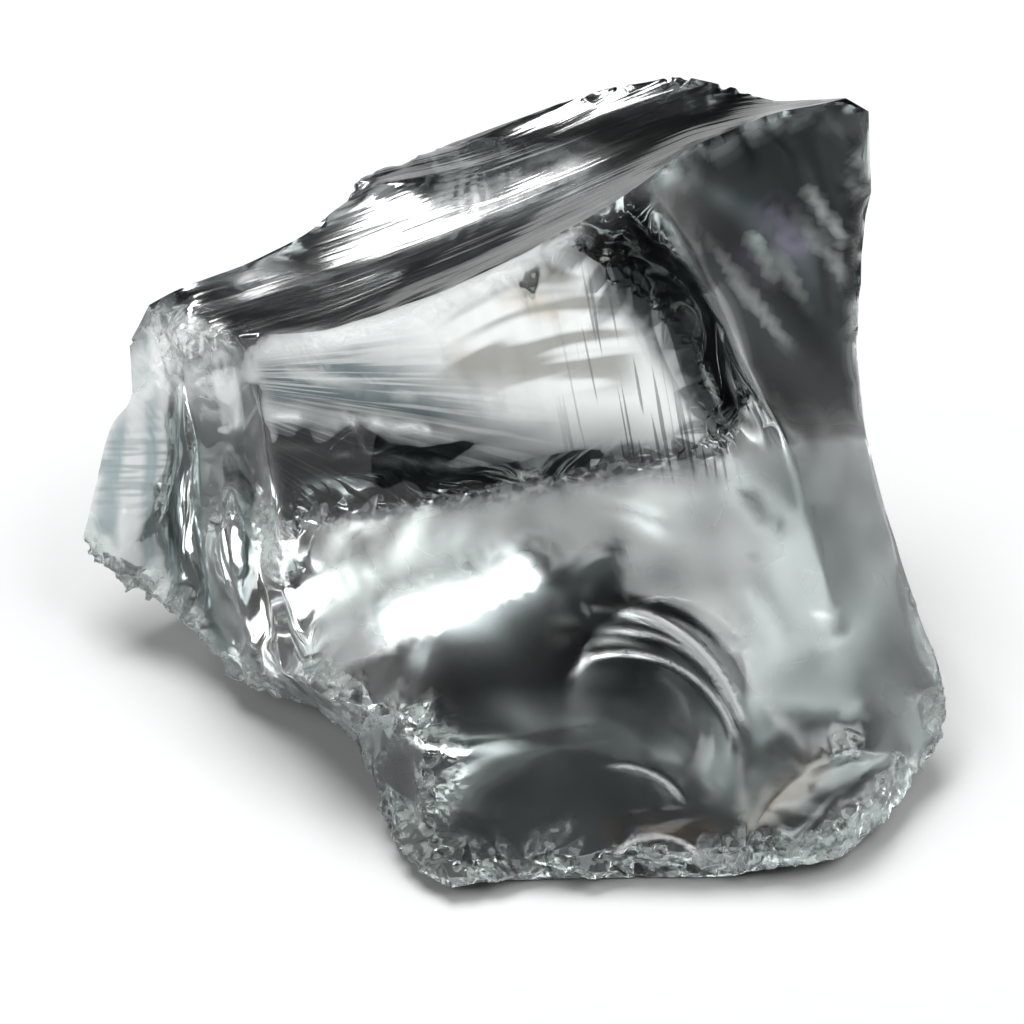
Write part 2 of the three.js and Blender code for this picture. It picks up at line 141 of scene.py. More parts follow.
# Lines over the front of the chunk, as seen along the sight line: [how far up they are at the
# middle, how far they rise for each millimetre across]
CHIP_LINE = (8.9, 0.17)  # where the rear foot shows through the main face
BAND_TOP = (11.4, -0.155)  # where the dark band above it ends
LIT_EDGE = (1.8, 0.478)  # where the milky part ends and the dusky one, painted as shade, starts
RAY_SHADE_TOP = (20.4, 0.2)  # where the greyish rays of painted shade in the window end

# The crescents of the scar: each a ridge along a circle. [middle across, middle up the face,
# radius, height, from, to], with the angles in degrees, anticlockwise from across.
CRESCENTS = [
    (7.4, -11.1, 8.3, 0.10, 15, 105),
    (3.4, -12.2, 13.5, 0.12, 20, 65),
    (4.6, -11.2, 11.6, 0.08, 22, 75),
    (6.4, -9.4, 9.6, 0.08, 22, 82),
    (10.4, -5.0, 6.0, 0.08, 0, 105),
    (7.2, -16.4, 5.7, 0.10, 35, 95),
    (10.0, -19.6, 4.0, 0.12, 40, 140),
    (4.0, -11.7, 12.6, 0.09, 22, 66),
    (5.6, -10.4, 10.6, 0.08, 20, 78),
    (7.0, -10.3, 9.1, 0.08, 15, 92),
]
CRESCENT_WIDTH = 0.17
FULL_SCUFF_AND_GLINT = 0.08  # a crescent this high is pale all over, as a scuff with a painted glint

FAN_START = Vector((-26, 2.0, 22.5)) * MM  # the streaks of the main face leave this place
SCAR_CENTRE = (7.4, -8.0)  # the arcs of the large scar lie round this, across and up
SCAR_RADIUS = 9.4
ARC_CROWDING = 1.5  # how closely the arcs follow each other
PETALS_START = (15.9, -13.7)  # the streaks of the low right corner leave this
PETAL_CROWDING = 5
PETAL_LENGTH = 3

# Strokes from one place to another, as seen along the sight line: [across, up, across, up,
# width, strength]. First the light scuffs, among them painted glints and the painted highlight
# streak of the upper face.
SCUFFS_AND_GLINTS = [
    (-16.6, 13.6, -5.9, 12.6, 0.3, 1.3),
    (-15.1, 16.6, -7.0, 14.8, 0.3, 0.7),
    (-16.2, 11.3, -3.0, 9.9, 0.3, 0.4),
    (16.7, 25.6, 18.1, 23.1, 0.35, 0.5),
    (20.6, 29.1, 23.1, 25.6, 0.25, 0.5),
    (6.5, 27.2, 11.0, 30.3, 1.1, 0.3),
    (-10.5, 25.3, 4.5, 30.9, 1.4, 0.75),
    (15.5, 1.1, 17.7, 1.1, 0.12, 1.0),
    (21.4, -0.2, 22.1, -1.5, 0.2, 1.2),
    (-4.5, -5.8, -4.0, -8.0, 0.3, 0.4),
    (7.6, -6.5, 8.6, -10.5, 0.5, 0.4),
    (17.0, -6.0, 20.0, -9.0, 0.6, 0.7),
    (-17.2, 18.4, -12.6, 18.6, 0.8, 1.3),
    (-12.6, 18.6, -5.1, 21.0, 0.7, 1.2),
    (-5.1, 21.0, 0.6, 23.6, 0.8, 1.4),
    (0.6, 23.6, 5.2, 26.6, 0.7, 1.2),
    (-20.3, 17.6, -19.4, 13.4, 1.3, 1.6),
    (-24.5, 20.3, -21.5, 18.6, 1.2, 0.8),
    (-25.4, 17.2, -22.8, 14.6, 1.3, 1.2),
    (-24.4, 16.9, -20.6, 14.9, 1.6, 1.3),
    (16.6, -14.8, 17.7, -12.3, 0.35, 0.8),
    (17.7, -12.3, 20.9, -10.6, 0.35, 0.7),
    (16.2, -14.6, 15.7, -10.0, 0.4, 0.6),
    (15.7, -10.0, 16.1, -5.5, 0.35, 0.4),
    (-17.2, 12.6, -16.0, 3.0, 0.5, 0.7),
    (-19.9, 11.0, -18.6, -2.5, 0.6, 0.7),
]

# Painted shade: dark strokes along cracks and folds
SHADOWS = [
    (-17.4, 12.0, -18.0, 3.4, 1.0, 1.0),
    (-28.0, 11.6, -20.5, 12.2, 0.3, 0.7),
    (-22.2, 11.8, -21.6, 7.4, 0.35, 1.0),
    (-20.6, 11.8, -20.2, 7.4, 0.3, 1.0),
    (-26.6, 16.3, -23.0, 13.1, 0.3, 1.0),
    (-26.9, 6.3, -24.8, 3.4, 0.35, 1.0),
    (-24.8, 3.4, -21.6, 0.6, 0.35, 1.0),
    (-21.6, 0.6, -18.7, -2.3, 0.35, 1.0),
    (-4.4, 17.6, -2.3, 15.6, 0.35, 1.1),
    (-3.0, 3.2, -1.6, 2.4, 0.35, 1.1),
    (0.6, 4.5, 2.4, 3.4, 0.35, 1.1),
    (16.3, 8.1, 18.8, 5.6, 0.6, 1.0),
    (12.6, 3.7, 17.2, 3.7, 0.1, 0.8),
    (-10.5, 4.6, -9.0, 1.6, 1.0, 0.6),
]

# Painted shade: greyer places in the milky part
DIM_SHADE_STROKES = [
    (-9.0, -0.4, 1.6, 3.2, 2.0, 1.3),
    (-14.6, 1.0, -10.6, 2.4, 1.4, 1.3),
]

# Brown stains
RUST = [
    (-18.3, 2.6, -17.5, -2.0, 1.2, 1.2),
    (-0.6, 22.4, 3.0, 20.4, 0.9, 1.2),
    (-3.4, 17.4, 1.2, 16.4, 0.8, 0.9),
    (16.8, -14.6, 20.9, -10.8, 1.2, 1.2),
    (7.0, -15.2, 13.4, -15.3, 0.9, 1.2),
]
# Violet spots, lighter than the dark top right corner around them
VIOLET = [
    (18.2, 27.6, 19.6, 25.4, 0.9, 1.2),
    (16.4, 24.6, 17.6, 23.2, 0.8, 1.2),
]

STROKES = {"shadowed": SHADOWS, "dim_shade": DIM_SHADE_STROKES, "rusty": RUST, "violet": VIOLET}
STROKE_BREAKS = (2.5, 0.35)  # how long and wide the broken pieces of a stroke are

# Tints: [where, how much of it, the tint], later ones over earlier ones. All but milky, rusty and
# violet are painted shade.
TINTS = [
    ("milky", 1.0, (0.72, 0.76, 0.75)),
    ("milky_right_shade", 1.0, (0.36, 0.39, 0.39)),
    ("dim_shade", 0.85, (0.20, 0.22, 0.22)),
    ("shadowed", 1.0, (0.03, 0.036, 0.038)),
    ("dusky_shade", 0.97, (0.30, 0.33, 0.34)),
    ("deep_shade", 0.99, (0.012, 0.014, 0.015)),
    ("shaded", 0.98, (0.015, 0.018, 0.018)),
    ("matt_and_shaded", 1.0, (0.003, 0.0035, 0.004)),
    ("violet", 0.8, (0.022, 0.015, 0.029)),
    ("rusty", 0.9, (0.58, 0.42, 0.31)),
    ("ribbed_shade", 1.0, (0.18, 0.25, 0.27)),
    ("rear_rim_shade", 0.9, (0.05, 0.055, 0.055)),
]

# The finish of the faces: [where, how rough, how cloudy]
FINISHES = [
    ("matt_and_shaded", 0.34, 0.0),
    ("hazy", 0.17, 0.0),
    ("milky", 0.28, 0.38),
    ("dusky_shade", 0.24, 0.06),
    ("drawn", 0.13, 0.0),
    ("ribbed_shade", 0.10, 0.0),
    ("bloom", 0.22, 0.07),
]
LEAST_ROUGHNESS = 0.015
BASE_ROUGHNESS = 0.05
PATCHES = (3, 0.6)  # how large the uneven patches of a finish are, and how uneven

CRISP = ("dusky_shade", "deep_shade")  # the marks with a crisp edge

# Streaks pressed into a face: [height, spacing across, length along], in millimetres
UPPER_STREAKS = [(0.26, 4.6, 40), (0.06, 1.6, 22)]
RIBS = [(0.12, 2.0, 30), (0.05, 1.2, 18)]
CRUMBLE = 0.09  # how rough the crushed rims are
CRUMB = 1.0  # and how large their crumbs
FROST_SPREAD = 5  # over how many rows of points the frost of a crushed rim spreads
BLOOM_SPREAD = 14  # and its faint bloom
SCUFF_AND_GLINT_CLOUD = 0.45  # how cloudy a scuff or a painted glint is


# ------------------------------------------------------------------ small tools


def select_only(piece):
    bpy.ops.object.select_all(action="DESELECT")
    piece.select_set(True)
    bpy.context.view_layer.objects.active = piece


def places_and_normals(piece):
    """The places of the piece's points in millimetres and their normals, as two arrays."""
    count = len(piece.data.vertices)
    places = np.empty(count * 3)
    normals = np.empty(count * 3)
    piece.data.vertices.foreach_get("co", places)
    piece.data.vertices.foreach_get("normal", normals)
    return places.reshape(-1, 3) / MM, normals.reshape(-1, 3)


def across_and_up(places):
    """How far across and up the places lie, as seen along the sight line."""
    return places[:, 0], places @ UPRIGHT


def rise(line, across):
    """How far up a line over the front is, at some places across."""
    middle, slope = line
    return middle + slope * across


def off_and_turn(middle, across, up):
    """How far places are from a middle, and in which direction, seen along the sight line."""
    return np.hypot(across - middle[0], up - middle[1]), np.arctan2(up - middle[1], across - middle[0])


def fade(values, start, end):
    """0 at start, 1 at end, and smooth between them."""
    t = np.clip((values - start) / (end - start), 0, 1)
    return t * t * (3 - 2 * t)


def faces(normals, facing, start=0.75, end=0.9):
    """1 where a point faces the given way, and 0 where it faces well away from it."""
    return fade(normals @ np.array(Vector(facing).normalized()), start, end)


def move_points(piece, lift):
    """Moves every point along its normal by its lift in millimetres, but never the flat base."""
    places, normals = places_and_normals(piece)
    places += normals * (lift * (places[:, 2] > BASE_TOP))[:, None]
    places[:, 2] = np.maximum(places[:, 2], 0)
    piece.data.vertices.foreach_set("co", (places * MM).ravel())
    piece.data.update()


def noise_at(*measures):
    """Noise from -1 to 1 over up to three measures of the points."""
    spots = np.column_stack(measures + (0 * measures[0],) * (3 - len(measures)))
    return np.array([noise.noise(Vector(spot)) for spot in spots])


def grain_axes(run, facing):
    """The way a grain runs on a face, and the way across it."""
    run = Vector(run).normalized()
    return run, Vector(facing).cross(run).normalized()


def soften(piece, values, rounds):
    """Spreads a value of the points over their neighbours."""
    count = len(values)
    ends = np.empty(len(piece.data.edges) * 2, dtype=np.int64)
    piece.data.edges.foreach_get("vertices", ends)
    one, other = ends.reshape(-1, 2).T
    mates = np.bincount(one, minlength=count) + np.bincount(other, minlength=count)
    for _ in range(rounds):
        total = np.bincount(one, values[other], count) + np.bincount(other, values[one], count)
        values = 0.5 * values + 0.5 * total / mates
    return values


def keep(piece, name, values):
    """Stores a value of the points, for the material to read."""
    layer = piece.data.attributes.get(name) or piece.data.attributes.new(name, "FLOAT", "POINT")
    layer.data.foreach_set("value", values.astype(np.float32))


def kept(piece, name):
    values = np.empty(len(piece.data.vertices), dtype=np.float32)
    piece.data.attributes[name].data.foreach_get("value", values)
    return values.astype(float)


# ------------------------------------------------------------------ the fine surface


def find_crushed_points(piece):
    """Marks the points where three or more sharp edges meet, as they do among chips."""
    shape = bmesh.new()
    shape.from_mesh(piece.data)
    sharp = [sum(edge.calc_face_angle(0) > SHARP_EDGE for edge in v.link_edges) for v in shape.verts]
    shape.free()
    keep(piece, "crushed", (np.array(sharp) >= 3).astype(float))


def fine_copy(node):
    """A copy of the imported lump, creased along its sharp edges and subdivided."""
    select_only(node)
    bpy.ops.object.duplicate()
    piece = bpy.context.active_object
    piece.name = "clear_chunk"
    piece.data.name = "clear_chunk"
    piece.parent = None
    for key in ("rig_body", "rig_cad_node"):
        del piece[key]
    select_only(piece)
    bpy.ops.object.mode_set(mode="EDIT")
    bpy.ops.mesh.select_mode(type="EDGE")
    bpy.ops.mesh.select_all(action="SELECT")
    bpy.ops.mesh.remove_doubles(threshold=MERGE)
    bpy.ops.mesh.tris_convert_to_quads(face_threshold=FLAT_ENOUGH, shape_threshold=SQUARE_ENOUGH)
    bpy.ops.mesh.select_all(action="DESELECT")
    bpy.ops.mesh.edges_select_sharp(sharpness=SHARP_EDGE)
    bpy.ops.transform.edge_crease(value=1)
    bpy.ops.object.mode_set(mode="OBJECT")
    find_crushed_points(piece)
    fine = piece.modifiers.new("fine", "SUBSURF")
    fine.levels = fine.render_levels = SUBDIVISIONS
    bpy.ops.object.modifier_apply(modifier=fine.name)
    return piece


def streaks(places, run, height, spacing, length, seed):
    """Long uneven ridges that run one way: the lift of every point."""
    along = Vector(run).normalized()
    across = along.orthogonal().normalized()
    over = along.cross(across)
    u, v, w = (places @ np.array(axis) for axis in (along, across, over))
    return height * noise_at(u / length + seed, v / spacing + seed, w / spacing + seed)


def press_upper_face(piece):
    """The upper face is drawn out into ridges along the crest."""
    places, _ = places_and_normals(piece)
    lift = sum(streaks(places, CREST_RUN, *row, seed=i) for i, row in enumerate(UPPER_STREAKS))
    move_points(piece, lift * kept(piece, "drawn"))


def press_ribs(piece):
    """Upright ribs stand on the left end."""
    places, normals = places_and_normals(piece)
    inside = fade(places[:, 0], RIBS_END + 1, RIBS_END - 1) * fade(normals[:, 1], 0.1, -0.2)
    lift = sum(streaks(places, RIB_RUN, *row, seed=5 + i) for i, row in enumerate(RIBS))
    move_points(piece, lift * inside)


def press_crescents(piece):
    """The thin curved ridges that the shock left in the large scar."""
    places, normals = places_and_normals(piece)
    near = np.linalg.norm(places - SCAR_MIDDLE, axis=1)
    inside = fade(near, SCAR_REACH, SCAR_REACH - 1.5) * faces(normals, MAIN_FACING, 0.3, 0.6)
    across, up = across_and_up(places)
    lift = np.zeros(len(places))
    for middle_x, middle_up, radius, height, start, end in CRESCENTS:
        out, turn = off_and_turn((middle_x, middle_up), across, up)
        angle = np.degrees(turn)
        along = fade(angle, start - 8, start + 12) * fade(angle, end + 8, end - 12)
        lift += height * along * np.exp(-(((out - radius) / CRESCENT_WIDTH) ** 2))
    move_points(piece, lift * inside)
    # the crescents' ridges are painted pale, as scuffs and painted glints
    keep(piece, "scuffs_and_glints", np.clip(lift / FULL_SCUFF_AND_GLINT, 0, 1) * inside)


def draw_strokes(piece, name, strokes):
    """Adds broken strokes to a mark: bruises, wisps, scratches and stains, painted glints and highlights,
    and painted shade along cracks, folds and greyer places.
    """
    places, normals = places_and_normals(piece)
    across, up = across_and_up(places)
    facing = fade(normals @ SIGHT_BACK, 0.2, 0.4)
    long, wide = STROKE_BREAKS
    marks = kept(piece, name)
    for x0, up0, x1, up1, width, strength in strokes:
        run = np.array((x1 - x0, up1 - up0))
        length = np.hypot(*run)
        share = np.clip(((across - x0) * run[0] + (up - up0) * run[1]) / length**2, 0, 1)
        off = np.hypot(across - x0 - share * run[0], up - up0 - share * run[1])
        near = np.flatnonzero(off < 2 * width)
        broken = noise_at(share[near] * length / long + x0, off[near] / wide + x0, 0 * off[near] + x0)
        mark = np.exp(-((off[near] / width) ** 2)) * np.clip(0.6 + broken, 0, 1)
        marks[near] = np.maximum(marks[near], np.minimum(strength * mark, 1) * facing[near])
    keep(piece, name, marks)


def crumble_rims(piece):
    """The crushed rims are rough, and frost is kept there for the material. The rear rim is kept apart, to
    be painted dark as shade.
    """
    places, _ = places_and_normals(piece)
    crushed = soften(piece, kept(piece, "crushed"), FROST_SPREAD)
    frost = fade(crushed, 0.05, 0.25) * (places[:, 2] > BASE_TOP)
    rear = fade(places[:, 1], 6, 10)
    keep(piece, "rear_rim_shade", frost * rear)
    frost *= 1 - rear
    spots = places / CRUMB
    rough = np.array([noise.fractal(Vector(spot), 1, 2, 3) for spot in spots])
    move_points(piece, CRUMBLE * rough * frost)
    keep(piece, "frost", frost)
    keep(piece, "bloom", fade(soften(piece, frost, BLOOM_SPREAD), 0.0, 0.6) * (places[:, 2] > BASE_TOP))


def mark_faces(piece):
    """Keeps where each face with a finish or a painted shade of its own lies.

    Limits of places are in millimetres, and limits of facings are cosines.
    """
    places, normals = places_and_normals(piece)
    across, up = across_and_up(places)
    height = places[:, 2]
    seen = normals @ SIGHT_BACK
    face = fade(seen, 0.3, 0.5)
    front = face * fade(across, RIBS_END - 1, RIBS_END + 1)
    main = face * faces(normals, MAIN_FACING, 0.8, 0.95) * fade(across, MAIN_START - 0.5, MAIN_START + 0.5)
    left_end = fade(seen, 0.1, 0.3) * fade(across, MAIN_START + 0.5, MAIN_START - 0.5)

    # the matt top right corner, painted nearly black as shade, and the corner beside the window, painted
    # dark as shade
    high = faces(normals, HIGH_FACING, 0.8, 0.9) * fade(across + 0.55 * up, 24.6, 25.8) * fade(up, 11, 13.5)
    corner = fade(up + 1.33 * across, 29.5, 30.6)

    # the window, the dark band under it and the line of chips under that, band and chips painted dark as
    # shade
    chip_line, band_top = rise(CHIP_LINE, across), rise(BAND_TOP, across)
    window = main * fade(up, band_top - 0.3, band_top + 0.2) * (1 - corner)
    band_shade = main * fade(up, chip_line - 0.2, chip_line + 0.6) * fade(up, band_top + 0.2, band_top - 0.3)
    at_line = np.exp(-(((up - chip_line) / 0.9) ** 4)) * fade(across, 13.5, 12) * fade(across, -17, -16)
    below = fade(up, chip_line - 0.4, chip_line - 1.2)
    ray_shade_top = rise(RAY_SHADE_TOP, across)

    # the milky part, the dusky part under it, painted dark as shade, and the scars
    depth = rise(LIT_EDGE, across) - up
    scar_off, _ = off_and_turn(SCAR_CENTRE, across, up)
    petal_off, _ = off_and_turn(PETALS_START, across, up)
    bowl = fade(scar_off, SCAR_RADIUS, SCAR_RADIUS - 0.5)
    low_right = fade(up, -5.2, -8) * fade(across, 27, 23)
    dusky_shade = front * fade(depth, 0, 0.9) * np.maximum.reduce((bowl, fade(across, 8, 7), low_right))
    hazy = front * below * (1 - high)
    milky = hazy * (1 - dusky_shade)

    marks = {
        "matt_and_shaded": high,
        "hazy": hazy,
        "milky": milky * (0.95 - 0.1 * fade(across, 3.5, 7.5)),
        # painted shade: the right end of the milky part is greyed
        "milky_right_shade": milky * fade(across, 15, 20),
        "chip_shade": face * at_line,
        "band_shade": band_shade,
        "dusky_shade": dusky_shade,
        # painted deep shade in the dusky part, darkest just below the milky part
        "deep_shade": dusky_shade * fade(depth, 17, 8) * (1 - low_right),
        "corner_shade": main * corner * (1 - high) * fade(up, chip_line, chip_line + 0.8),
        "ringed": front * bowl * fade(scar_off, 3.5, 6) * fade(up, -13, -9) * fade(across, 2, 6),
        "fanned": front * fade(petal_off, 1, 3) * fade(petal_off, 9, 6) * fade(up, -8.5, -10),
        # the upper face, drawn into ridges and painted dark as shade
        "drawn": faces(normals, UPPER_FACING, 0.7, 0.82) * fade(height, UPPER_LEVEL, UPPER_LEVEL + 1.5),
        "hackled": np.maximum(
            faces(normals, REAR_FACING, 0.6, 0.8) * fade(across, -6, 4) * fade(height, 5.5, 9),
            0.4 * faces(normals, SIDE_FACING, 0.75, 0.9),
        ),
        "shaded": faces(normals, SIDE_FACING, 0.7, 0.82) * fade(across, 4, 6),
        # painted shade: greyish rays in the window
        "ray_shade": window * fade(across + 1.5 * (up - 14), 5, -7) * fade(up - ray_shade_top, 1.2, 0),
        "warm": window * fade(up, 14.6, 16.2) * fade(across, -7, -3) * fade(across, 9.5, 7.5),
        # painted shade: dark crack lines in the right of the window
        "line_shade": window * fade(across, 2, 6),
        # painted shade: the left end is darkened along its ribs, with dark level bars
        "ribbed_shade": left_end,
        "bar_shade": left_end * fade(up, 6.5, 8) * fade(up, 13, 11.5),
    }
    for name, values in marks.items():
        keep(piece, name, soften(piece, values, 0 if name in CRISP else 2))


def pattern_faces(piece):
    """Works out the soft patterns: arcs, petals, wisps and ribs."""
    places, _ = places_and_normals(piece)
    across, up = across_and_up(places)

    def grain(run, facing, long, wide):
        along, side = grain_axes(run, facing)
        return noise_at(places @ np.array(along) / long, places @ np.array(side) / wide)

    out, turn = off_and_turn(SCAR_CENTRE, across, up)
    arcs = fade(noise_at(ARC_CROWDING * out, turn), 0.08, 0.32) * kept(piece, "ringed")
    out, turn = off_and_turn(PETALS_START, across, up)
    petals = fade(noise_at(PETAL_CROWDING * turn, out / PETAL_LENGTH), 0.0, 0.32) * kept(piece, "fanned")
    wisps = fade(grain(WISP_RUN, HIGH_FACING, 6, 1.8), 0.3, 0.75) * kept(piece, "matt_and_shaded")
    ribs = fade(grain(RIB_RUN, END_FACING, 30, 1.5), -0.2, 0.2)
    scuffs_and_glints = np.maximum.reduce((kept(piece, "scuffs_and_glints"), 0.6 * arcs, 0.4 * petals, 0.1 * wisps))
    keep(piece, "scuffs_and_glints", scuffs_and_glints)
    keep(piece, "ribbed_shade", kept(piece, "ribbed_shade") * (1 - 0.6 * ribs))


def finish_faces(piece):
    """Keeps the tint, mostly painted shade, the roughness and the cloudiness that the marks add up to."""
    places, _ = places_and_normals(piece)
    tints = np.full((len(places), 3), CLEAR)
    for name, share, tint in TINTS:
        tints += (np.array(tint) - tints) * (share * kept(piece, name))[:, None]
    colours = np.column_stack((tints, np.ones(len(tints)))).astype(np.float32)
    piece.data.attributes.new("tint", "FLOAT_COLOR", "POINT").data.foreach_set("color", colours.ravel())
    rough = np.where(places[:, 2] > BASE_TOP, LEAST_ROUGHNESS, BASE_ROUGHNESS)
    cloudy = np.zeros(len(places))
    size, strength = PATCHES
    uneven = 1 + strength * noise_at(*(places / size).T)
    for name, least_rough, least_cloudy in FINISHES:
        mark = kept(piece, name)
        rough = np.maximum(rough, least_rough * mark)
        cloudy = np.maximum(cloudy, least_cloudy * mark * uneven)
    keep(piece, "rough", rough)
    keep(piece, "cloudy", cloudy)


# ------------------------------------------------------------------ glass


class Recipe:
    """Short ways to add nodes to one material."""

    def __init__(self, material):
        self.nodes = material.node_tree.nodes
        self.links = material.node_tree.links
        self.marks = {}
        self.place = self.nodes.new("ShaderNodeTexCoord").outputs["Object"]

    def add(self, kind, **values):
        node = self.nodes.new(kind)
        for name, value in values.items():
            setattr(node, name, value)
        return node

    def feed(self, source, socket):
        if hasattr(source, "is_output"):
            self.links.new(source, socket)
        else:
            socket.default_value = source

    def math(self, operation, one, other):
        node = self.add("ShaderNodeMath", operation=operation)
        self.feed(one, node.inputs[0])
        self.feed(other, node.inputs[1])
        return node.outputs[0]

    def ramp(self, value, start, end, low, high):
        node = self.add("ShaderNodeMapRange", interpolation_type="SMOOTHSTEP")
        self.feed(value, node.inputs["Value"])
        for name, number in (("From Min", start), ("From Max", end), ("To Min", low), ("To Max", high)):
            node.inputs[name].default_value = number
        return node.outputs["Result"]

    def kept(self, name, output="Fac"):
        if name not in self.marks:
            self.marks[name] = self.add("ShaderNodeAttribute", attribute_name=name)
        return self.marks[name].outputs[output]

    def along(self, axis, spot=None):
        """How far a spot lies along an axis."""
        dot = self.add("ShaderNodeVectorMath", operation="DOT_PRODUCT")
        self.links.new(spot or self.place, dot.inputs[0])
        dot.inputs[1].default_value = axis
        return dot.outputs["Value"]

    def cloud(self, parts, detail):
        """Noise over two or three measures."""
        spot = self.add("ShaderNodeCombineXYZ")
        for part, socket in zip(parts, spot.inputs):
            self.links.new(part, socket)
        pattern = self.add("ShaderNodeTexNoise", noise_dimensions=f"{len(parts)}D")
        pattern.inputs["Scale"].default_value = 1
        pattern.inputs["Detail"].default_value = detail
        self.links.new(spot.outputs[0], pattern.inputs["Vector"])
        return pattern.outputs["Fac"]

    def crumbs(self, size, detail):
        return self.cloud([self.along(axis / (size * MM)) for axis in np.eye(3)], detail)

    def grain(self, run, facing, long, wide, detail):
        """Noise drawn out one way on a face: long and wide are its size in millimetres."""
        along, side = grain_axes(run, facing)
        return self.cloud([self.along(along / (long * MM)), self.along(side / (wide * MM))], detail)

    def bars(self, wide, high, detail):
        """Noise drawn out level, seen along the sight line. Wide and high are in millimetres."""
        return self.cloud([self.along((1 / (wide * MM), 0, 0)), self.along(UPRIGHT / (high * MM))], detail)

    def fan(self, start, crowding, length, detail):
        """Noise drawn out into rays that leave a point, as seen along the sight line."""
        arm = self.add("ShaderNodeVectorMath", operation="SUBTRACT")
        self.links.new(self.place, arm.inputs[0])
        arm.inputs[1].default_value = start
        across, up = (self.along(axis, arm.outputs[0]) for axis in ((1, 0, 0), UPRIGHT))
        turn = self.math("MULTIPLY", self.math("ARCTAN2", up, across), crowding)
        return self.cloud([turn, self.math("DIVIDE", across, length)], detail)

    def mix(self, share, one, other):
        node = self.add("ShaderNodeMix", data_type="RGBA")
        self.feed(share, node.inputs["Factor"])
        self.feed(one, node.inputs["A"])
        self.feed(other, node.inputs["B"])
        return node.outputs["Result"]


def clear_glass():
    material = bpy.data.materials.new(SLOT)
    material.use_nodes = True
    material.cycles.homogeneous_volume = True
    make = Recipe(material)
    shader = make.nodes["Principled BSDF"]
    shader.inputs["IOR"].default_value = REFRACTION
    body = make.add("ShaderNodeVolumeAbsorption")
    body.inputs["Color"].default_value = BODY_COLOUR
    body.inputs["Density"].default_value = BODY_DENSITY
    make.links.new(body.outputs["Volume"], make.nodes["Material Output"].inputs["Volume"])

    frost, scuffs_and_glints = make.kept("frost"), make.kept("scuffs_and_glints")
    crumbs = make.crumbs(0.7, 1)
    threads = make.grain(CREST_RUN, UPPER_FACING, 12, 0.6, 1)
    hackles = make.grain(HACKLE_RUN, REAR_FACING, 7, 1.1, 0)
    cracks = make.grain(LINE_RUN, MAIN_FACING, 9, 0.30, 0)
    rays = make.fan(FAN_START, 45, 11 * MM, 2)

    # streaked tints, all painted shade but warm: each [where, how much of it, the tint]
    tints = [
        ("ray_shade", make.ramp(rays, 0.44, 0.68, 1.0, 0.65), (0.03, 0.05, 0.06, 1)),
        ("warm", make.ramp(threads, 0.42, 0.60, 0.95, 0.0), (0.15, 0.14, 0.12, 1)),
        ("band_shade", make.ramp(rays, 0.50, 0.66, 1.0, 0.80), (0.03, 0.038, 0.042, 1)),
        ("line_shade", make.ramp(cracks, 0.38, 0.30, 0.0, 0.85), (0.04, 0.05, 0.05, 1)),
        ("corner_shade", make.ramp(hackles, 0.56, 0.66, 1.0, 0.85), (0.008, 0.009, 0.009, 1)),
        ("chip_shade", make.ramp(crumbs, 0.46, 0.54, 1.0, 0.3), (0.01, 0.012, 0.012, 1)),
        ("bar_shade", make.ramp(make.bars(4, 0.4, 0), 0.35, 0.60, 0.7, 0.0), (0.12, 0.16, 0.17, 1)),
        ("drawn", make.ramp(threads, 0.50, 0.64, 0.98, 0.90), (0.03, 0.033, 0.035, 1)),
    ]
    colour = make.kept("tint", "Color")
    for name, share, tint in tints:
        colour = make.mix(make.math("MULTIPLY", make.kept(name), share), colour, tint)
    colour = make.mix(frost, colour, CRUSHED_TINT)
    # scuffs, painted glints and the painted highlight streak: pale, and cloudy further down
    colour = make.mix(scuffs_and_glints, colour, PALE_SCUFF_AND_GLINT)
    make.links.new(colour, shader.inputs["Base Color"])

    # how much light is scattered instead of let through
    cloudy = make.math("MAXIMUM", make.kept("cloudy"), make.math("MULTIPLY", scuffs_and_glints, SCUFF_AND_GLINT_CLOUD))
    crushed = make.math("MULTIPLY", frost, make.ramp(crumbs, 0.45, 0.65, 0.0, 0.24))
    through = make.math("SUBTRACT", 1.0, make.math("MAXIMUM", cloudy, crushed))
    make.links.new(through, shader.inputs["Transmission Weight"])

    crushed = make.math("MULTIPLY", frost, make.ramp(crumbs, 0.4, 0.6, 0.04, 0.3))
    make.links.new(make.math("MAXIMUM", make.kept("rough"), crushed), shader.inputs["Roughness"])

    # fine relief: each [where, pattern, height as a share of the relief]
    reliefs = [
        (make.kept("drawn"), threads, 0.35),
        (make.kept("hackled"), hackles, 1.6),
        (frost, crumbs, 1.2),
    ]
    height = 0.0
    for where, pattern, share in reliefs:
        layer = make.math("MULTIPLY", where, make.math("MULTIPLY", pattern, share))
        height = make.math("ADD", height, layer)
    relief = make.add("ShaderNodeBump")
    relief.inputs["Distance"].default_value = RELIEF
    relief.inputs["Strength"].default_value = 1
    make.links.new(height, relief.inputs["Height"])
    make.links.new(relief.outputs["Normal"], shader.inputs["Normal"])
    return material


# ------------------------------------------------------------------ the studio


def pale_table():
    bpy.ops.object.select_all(action="DESELECT")
    bpy.ops.mesh.primitive_plane_add(size=TABLE_SIZE, location=(0, 0, -AIR_GAP))
    table = bpy.context.active_object
    table.name = "table"
    paper = bpy.data.materials.new("pale_paper")
    paper.use_nodes = True
    shader = paper.node_tree.nodes["Principled BSDF"]
    shader.inputs["Base Color"].default_value = TABLE_COLOUR
    shader.inputs["Roughness"].default_value = TABLE_ROUGHNESS
    shader.inputs["Specular IOR Level"].default_value = TABLE_SHINE
    table.data.materials.append(paper)


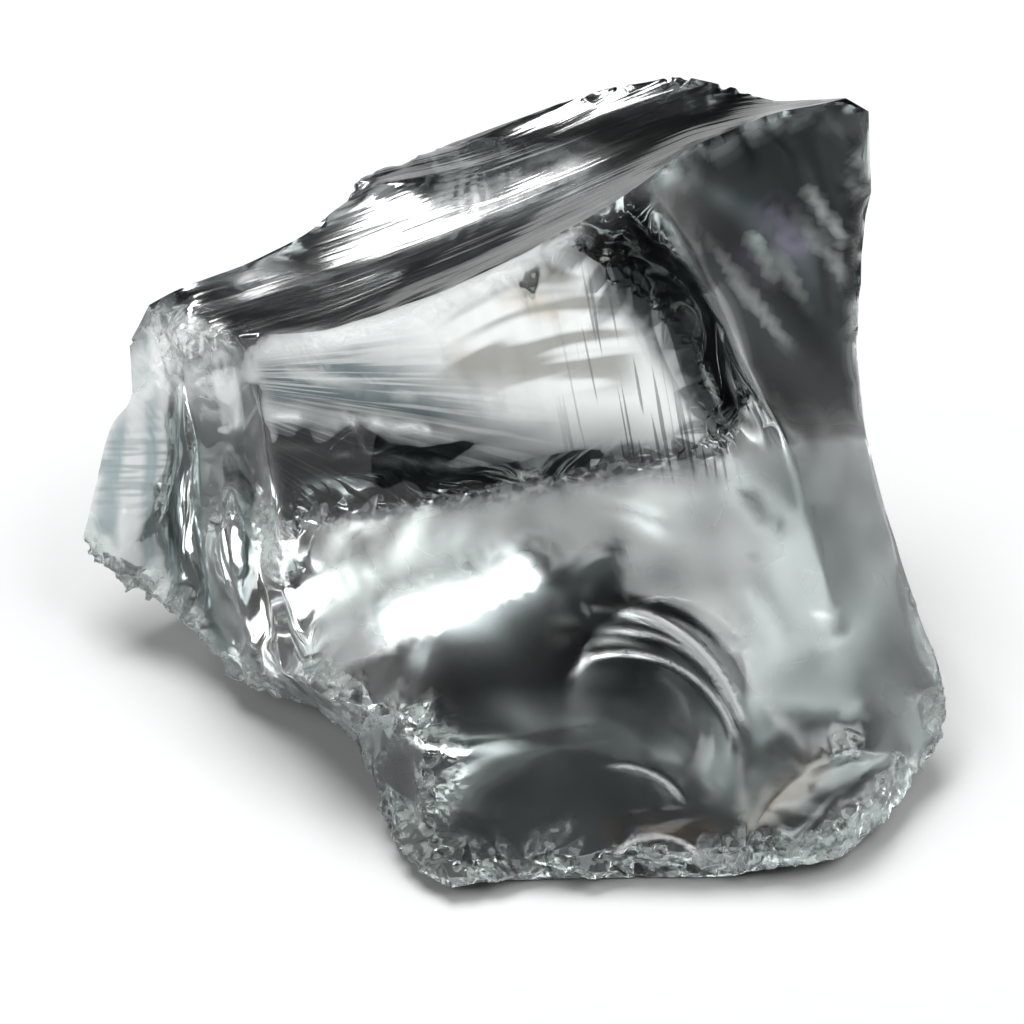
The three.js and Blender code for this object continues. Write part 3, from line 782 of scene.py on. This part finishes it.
def soft_light(name, azimuth, elevation, distance, size, power):
    """A soft box that faces the chunk."""
    a, e = math.radians(azimuth), math.radians(elevation)
    direction = Vector((math.cos(e) * math.sin(a), math.cos(e) * math.cos(a), math.sin(e)))
    light = bpy.data.lights.new(name, "AREA")
    light.shape = "RECTANGLE"
    light.size, light.size_y = size
    light.energy = power
    holder = bpy.data.objects.new(name, light)
    holder.location = direction * distance + Vector((0, 0, LIGHT_AIM))
    holder.rotation_euler = direction.to_track_quat("Z", "Y").to_euler()
    bpy.context.scene.collection.objects.link(holder)


def studio():
    world = bpy.data.worlds.new("studio")
    bpy.context.scene.world = world
    world.use_nodes = True
    world.node_tree.nodes["Background"].inputs["Color"].default_value = ROOM_COLOUR
    for box in SOFT_BOXES:
        soft_light(*box)


def camera():
    lens = bpy.data.cameras.new("camera")
    lens.lens = LENS
    lens.sensor_width = SENSOR
    holder = bpy.data.objects.new("camera", lens)
    bpy.context.scene.collection.objects.link(holder)
    distance = VIEW_WIDTH / 2 / (SENSOR / 2 / LENS)
    back = Vector(SIGHT_BACK)
    holder.location = Vector(UPRIGHT) * VIEW_RISE + back * distance
    holder.rotation_euler = back.to_track_quat("Z", "Y").to_euler()
    bpy.context.scene.camera = holder


# ------------------------------------------------------------------ putting it together


chunk = fine_copy(frame["nodes"][NODE])
mark_faces(chunk)
press_upper_face(chunk)
press_ribs(chunk)
press_crescents(chunk)
draw_strokes(chunk, "scuffs_and_glints", SCUFFS_AND_GLINTS)
for mark, strokes in STROKES.items():
    keep(chunk, mark, np.zeros(len(chunk.data.vertices)))
    draw_strokes(chunk, mark, strokes)
crumble_rims(chunk)
pattern_faces(chunk)
finish_faces(chunk)
select_only(chunk)
bpy.ops.object.shade_smooth_by_angle(angle=SMOOTH_BELOW)
chunk.data.materials.clear()
chunk.data.materials.append(clear_glass())
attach(chunk, "root")
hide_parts(NODE)

pale_table()
studio()
camera()

bpy.context.scene.view_settings.view_transform = "Standard"
light_paths = bpy.context.scene.cycles
light_paths.use_light_tree = False
light_paths.max_bounces = BOUNCES
light_paths.transmission_bounces = BOUNCES
light_paths.glossy_bounces = BOUNCES
light_paths.transparent_max_bounces = BOUNCES
light_paths.caustics_refractive = False
light_paths.caustics_reflective = False
